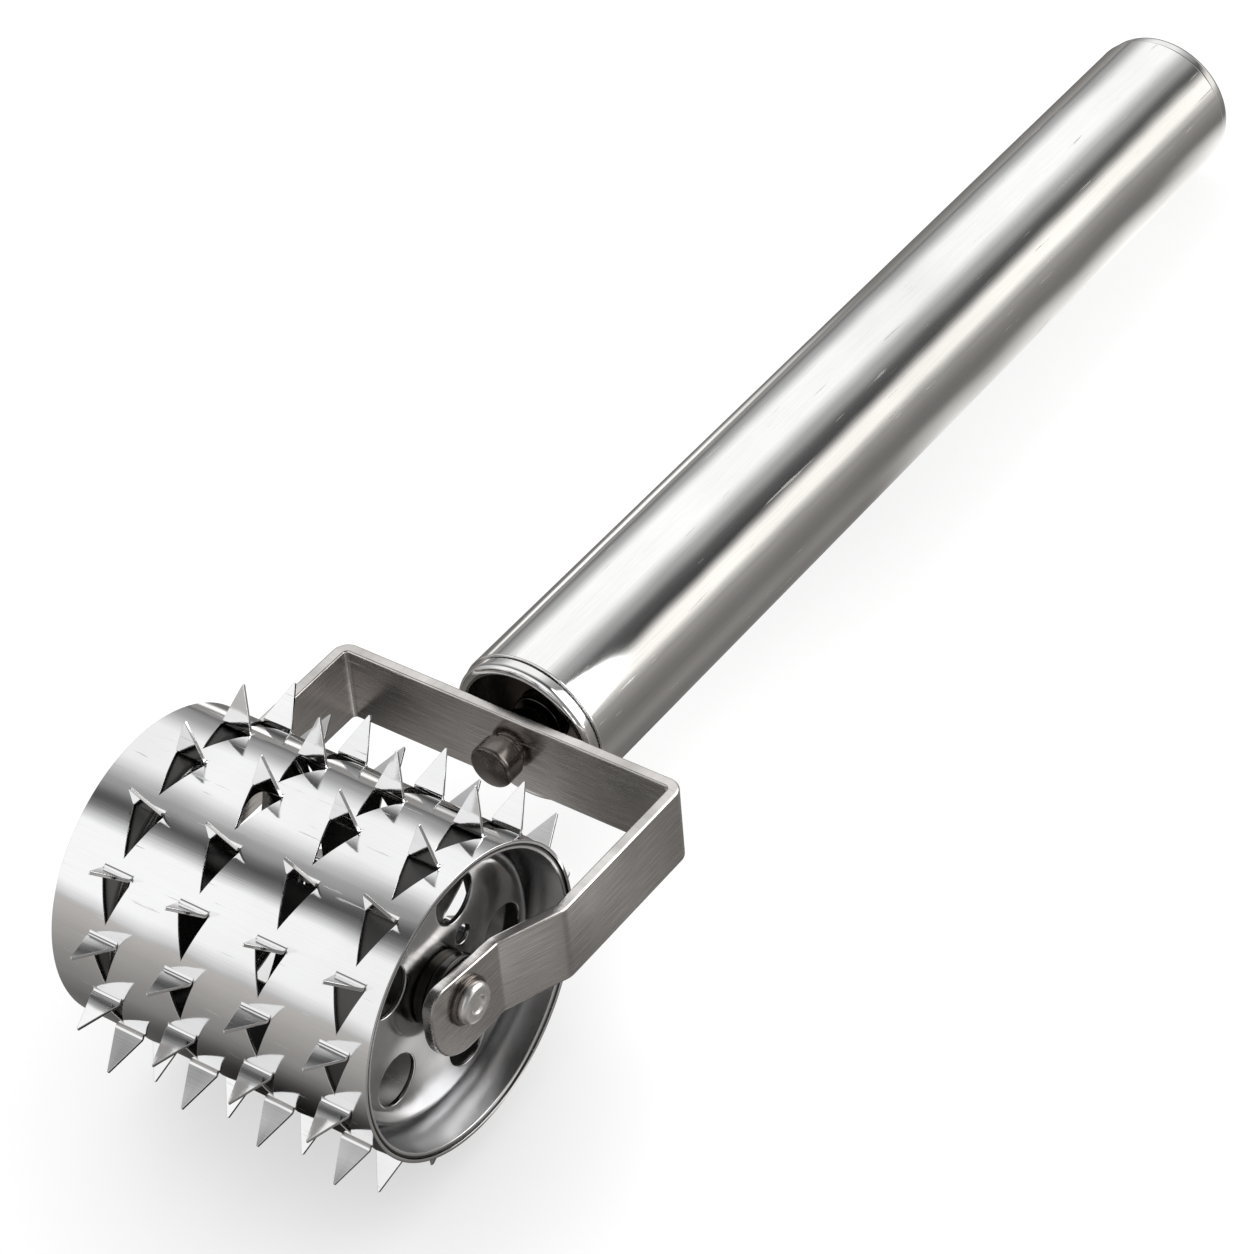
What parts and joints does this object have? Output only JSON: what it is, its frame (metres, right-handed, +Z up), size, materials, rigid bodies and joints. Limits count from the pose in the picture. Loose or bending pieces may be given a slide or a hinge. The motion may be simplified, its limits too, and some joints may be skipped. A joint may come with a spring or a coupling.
{
  "type": "rolling meat tenderizer",
  "caption": "Steel drum set all over with folded triangular teeth, spinning on an axle in a bent strip yoke that is screwed to a straight round tube handle.",
  "frame": {"origin": "on the table, under the centre of the tool's bounding box, the tool lying on its teeth and the heel of its handle", "axes": "+X along the drum's axle to the side of the solid axle head; +Y from the drum to the rear end of the handle; +Z up from the table"},
  "size_m": [0.073, 0.3172, 0.0717],
  "materials": {
    "drum_steel": "bright polish with fine lines along the drum",
    "disc_steel": "pressed and polished",
    "bronze": "turned, dull",
    "dark_steel": "dark satin",
    "axle_steel": "polished",
    "yoke_steel": "brushed along the strip",
    "ring_steel": "polished",
    "handle_steel": "polished with a faint grain along the tube"
  },
  "bodies": {
    "handle_frame": {"yoke": "yoke_steel", "axle": "axle_steel", "axle_washers": "dark_steel", "axle_cap": "axle_steel", "spacer_right": "dark_steel", "spacer_left": "dark_steel", "fixing_screw": "dark_steel", "screw_collar": "dark_steel", "spring_washer": "dark_steel", "fixing_nut": "dark_steel", "handle_ring": "ring_steel", "threaded_insert": "dark_steel", "handle_tube": "handle_steel", "handle_cap": "ring_steel"},
    "drum": {"drum_shell": "drum_steel", "end_disc_right": "disc_steel", "end_disc_left": "disc_steel", "bush_right": "bronze", "bush_left": "bronze", "core_tube": "disc_steel"}
  },
  "joints": [
    {"name": "drum_spin", "type": "hinge", "parent": "handle_frame", "child": "drum", "pos_m": [0, -0.12261, 0.03572], "axis": [1, 0, 0], "continuous": true}
  ]
}
